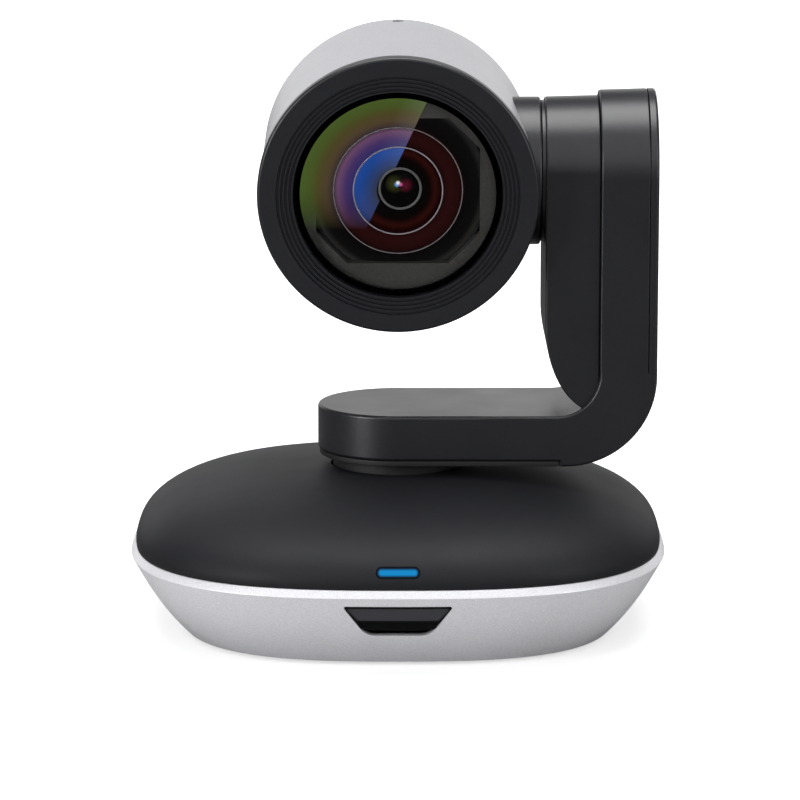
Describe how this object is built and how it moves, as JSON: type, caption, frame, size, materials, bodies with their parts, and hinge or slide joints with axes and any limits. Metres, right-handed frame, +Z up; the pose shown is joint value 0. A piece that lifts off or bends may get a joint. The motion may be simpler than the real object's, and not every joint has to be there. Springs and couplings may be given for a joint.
{
  "type": "pan tilt zoom camera",
  "caption": "Motorised conference camera: round head with a glass-fronted zoom lens that tilts on an L-shaped arm, which pans on a low rounded-square base with an indicator light.",
  "frame": {"origin": "on the resting plane under the foot pads, on the pan axis", "axes": "+Z up along the pan axis, the lens looks along -Y at rest, the arm's upright is on the +X side"},
  "size_m": [0.131, 0.13, 0.1459],
  "materials": {
    "silver": "fine satin silver paint",
    "black": "satin charcoal black",
    "inner_black": "dull black inside parts",
    "smoked": "polished infrared-clear black",
    "blue": "clear blue light guide",
    "glass": "flat coated window",
    "lens_glass": "coated lens glass",
    "steel": "plain steel",
    "alloy": "die-cast alloy",
    "brass": "turned brass",
    "nylon": "natural nylon",
    "rubber": "black rubber",
    "board": "green circuit board"
  },
  "bodies": {
    "base": {"base_tray": "silver", "base_cover": "black", "ir_window": "smoked", "ir_receiver": "smoked", "led_lens": "blue", "base_chassis": "steel", "tripod_insert": "brass", "foot_pad_1": "rubber", "foot_pad_2": "rubber", "foot_pad_3": "rubber", "foot_pad_4": "rubber", "base_screw_1": "steel", "base_screw_2": "steel", "base_screw_3": "steel", "base_screw_4": "steel", "main_board": "board", "dc_jack": "inner_black", "usb_socket": "steel", "pan_motor": "steel", "pan_bearing": "steel"},
    "pan_pinion": {"pan_pinion": "brass"},
    "arm": {"arm_shell": "black", "arm_bottom_cover": "black", "arm_side_cover": "black", "arm_inner_housing": "black", "tilt_bearing": "steel", "tilt_motor": "steel", "tilt_belt": "rubber", "turntable": "black", "pan_gear": "nylon", "pan_screw_1": "steel", "pan_screw_2": "steel", "arm_screw_1": "steel", "arm_screw_2": "steel"},
    "motor_pulley": {"motor_pulley": "nylon"},
    "head": {"head_shell": "silver", "head_rear_cap": "silver", "front_bezel": "black", "front_glass": "glass", "light_baffle": "inner_black", "lens_barrel": "inner_black", "lens_ring": "inner_black", "front_lens": "lens_glass", "iris": "inner_black", "guide_rod_1": "steel", "guide_rod_2": "steel", "sensor_board": "board", "image_sensor": "smoked", "head_chassis": "alloy", "tilt_hub": "black", "hub_screw_1": "steel", "hub_screw_2": "steel", "tilt_shaft": "steel", "tilt_pulley": "nylon"},
    "zoom_group": {"zoom_carriage": "inner_black", "zoom_lens": "lens_glass"},
    "focus_group": {"focus_carriage": "inner_black", "focus_lens": "lens_glass"}
  },
  "joints": [
    {"name": "pan", "type": "hinge", "parent": "base", "child": "arm", "pos_m": [0, 0, 0.03], "axis": [0, 0, 1], "range_deg": [-130, 130]},
    {"name": "pan_pinion_spin", "type": "hinge", "parent": "base", "child": "pan_pinion", "pos_m": [0, 0.025, 0.028], "axis": [0, 0, 1], "range_deg": [-520, 520]},
    {"name": "tilt", "type": "hinge", "parent": "arm", "child": "head", "pos_m": [0, 0, 0.1108], "axis": [-1, 0, 0], "range_deg": [-34, 96]},
    {"name": "motor_pulley_spin", "type": "hinge", "parent": "arm", "child": "motor_pulley", "pos_m": [0.05, 0, 0.082], "axis": [-1, 0, 0], "range_deg": [-84.4, 238.2]},
    {"name": "zoom", "type": "slide", "parent": "head", "child": "zoom_group", "axis": [0, 0.9945, 0.1045], "range_m": [0, 0.006]},
    {"name": "focus", "type": "slide", "parent": "head", "child": "focus_group", "axis": [0, 0.9945, 0.1045], "range_m": [-0.002, 0.003]}
  ],
  "couplings": [
    {"joint": "pan_pinion_spin", "follows": "pan", "ratio": -4},
    {"joint": "motor_pulley_spin", "follows": "tilt", "ratio": 2.48}
  ]
}
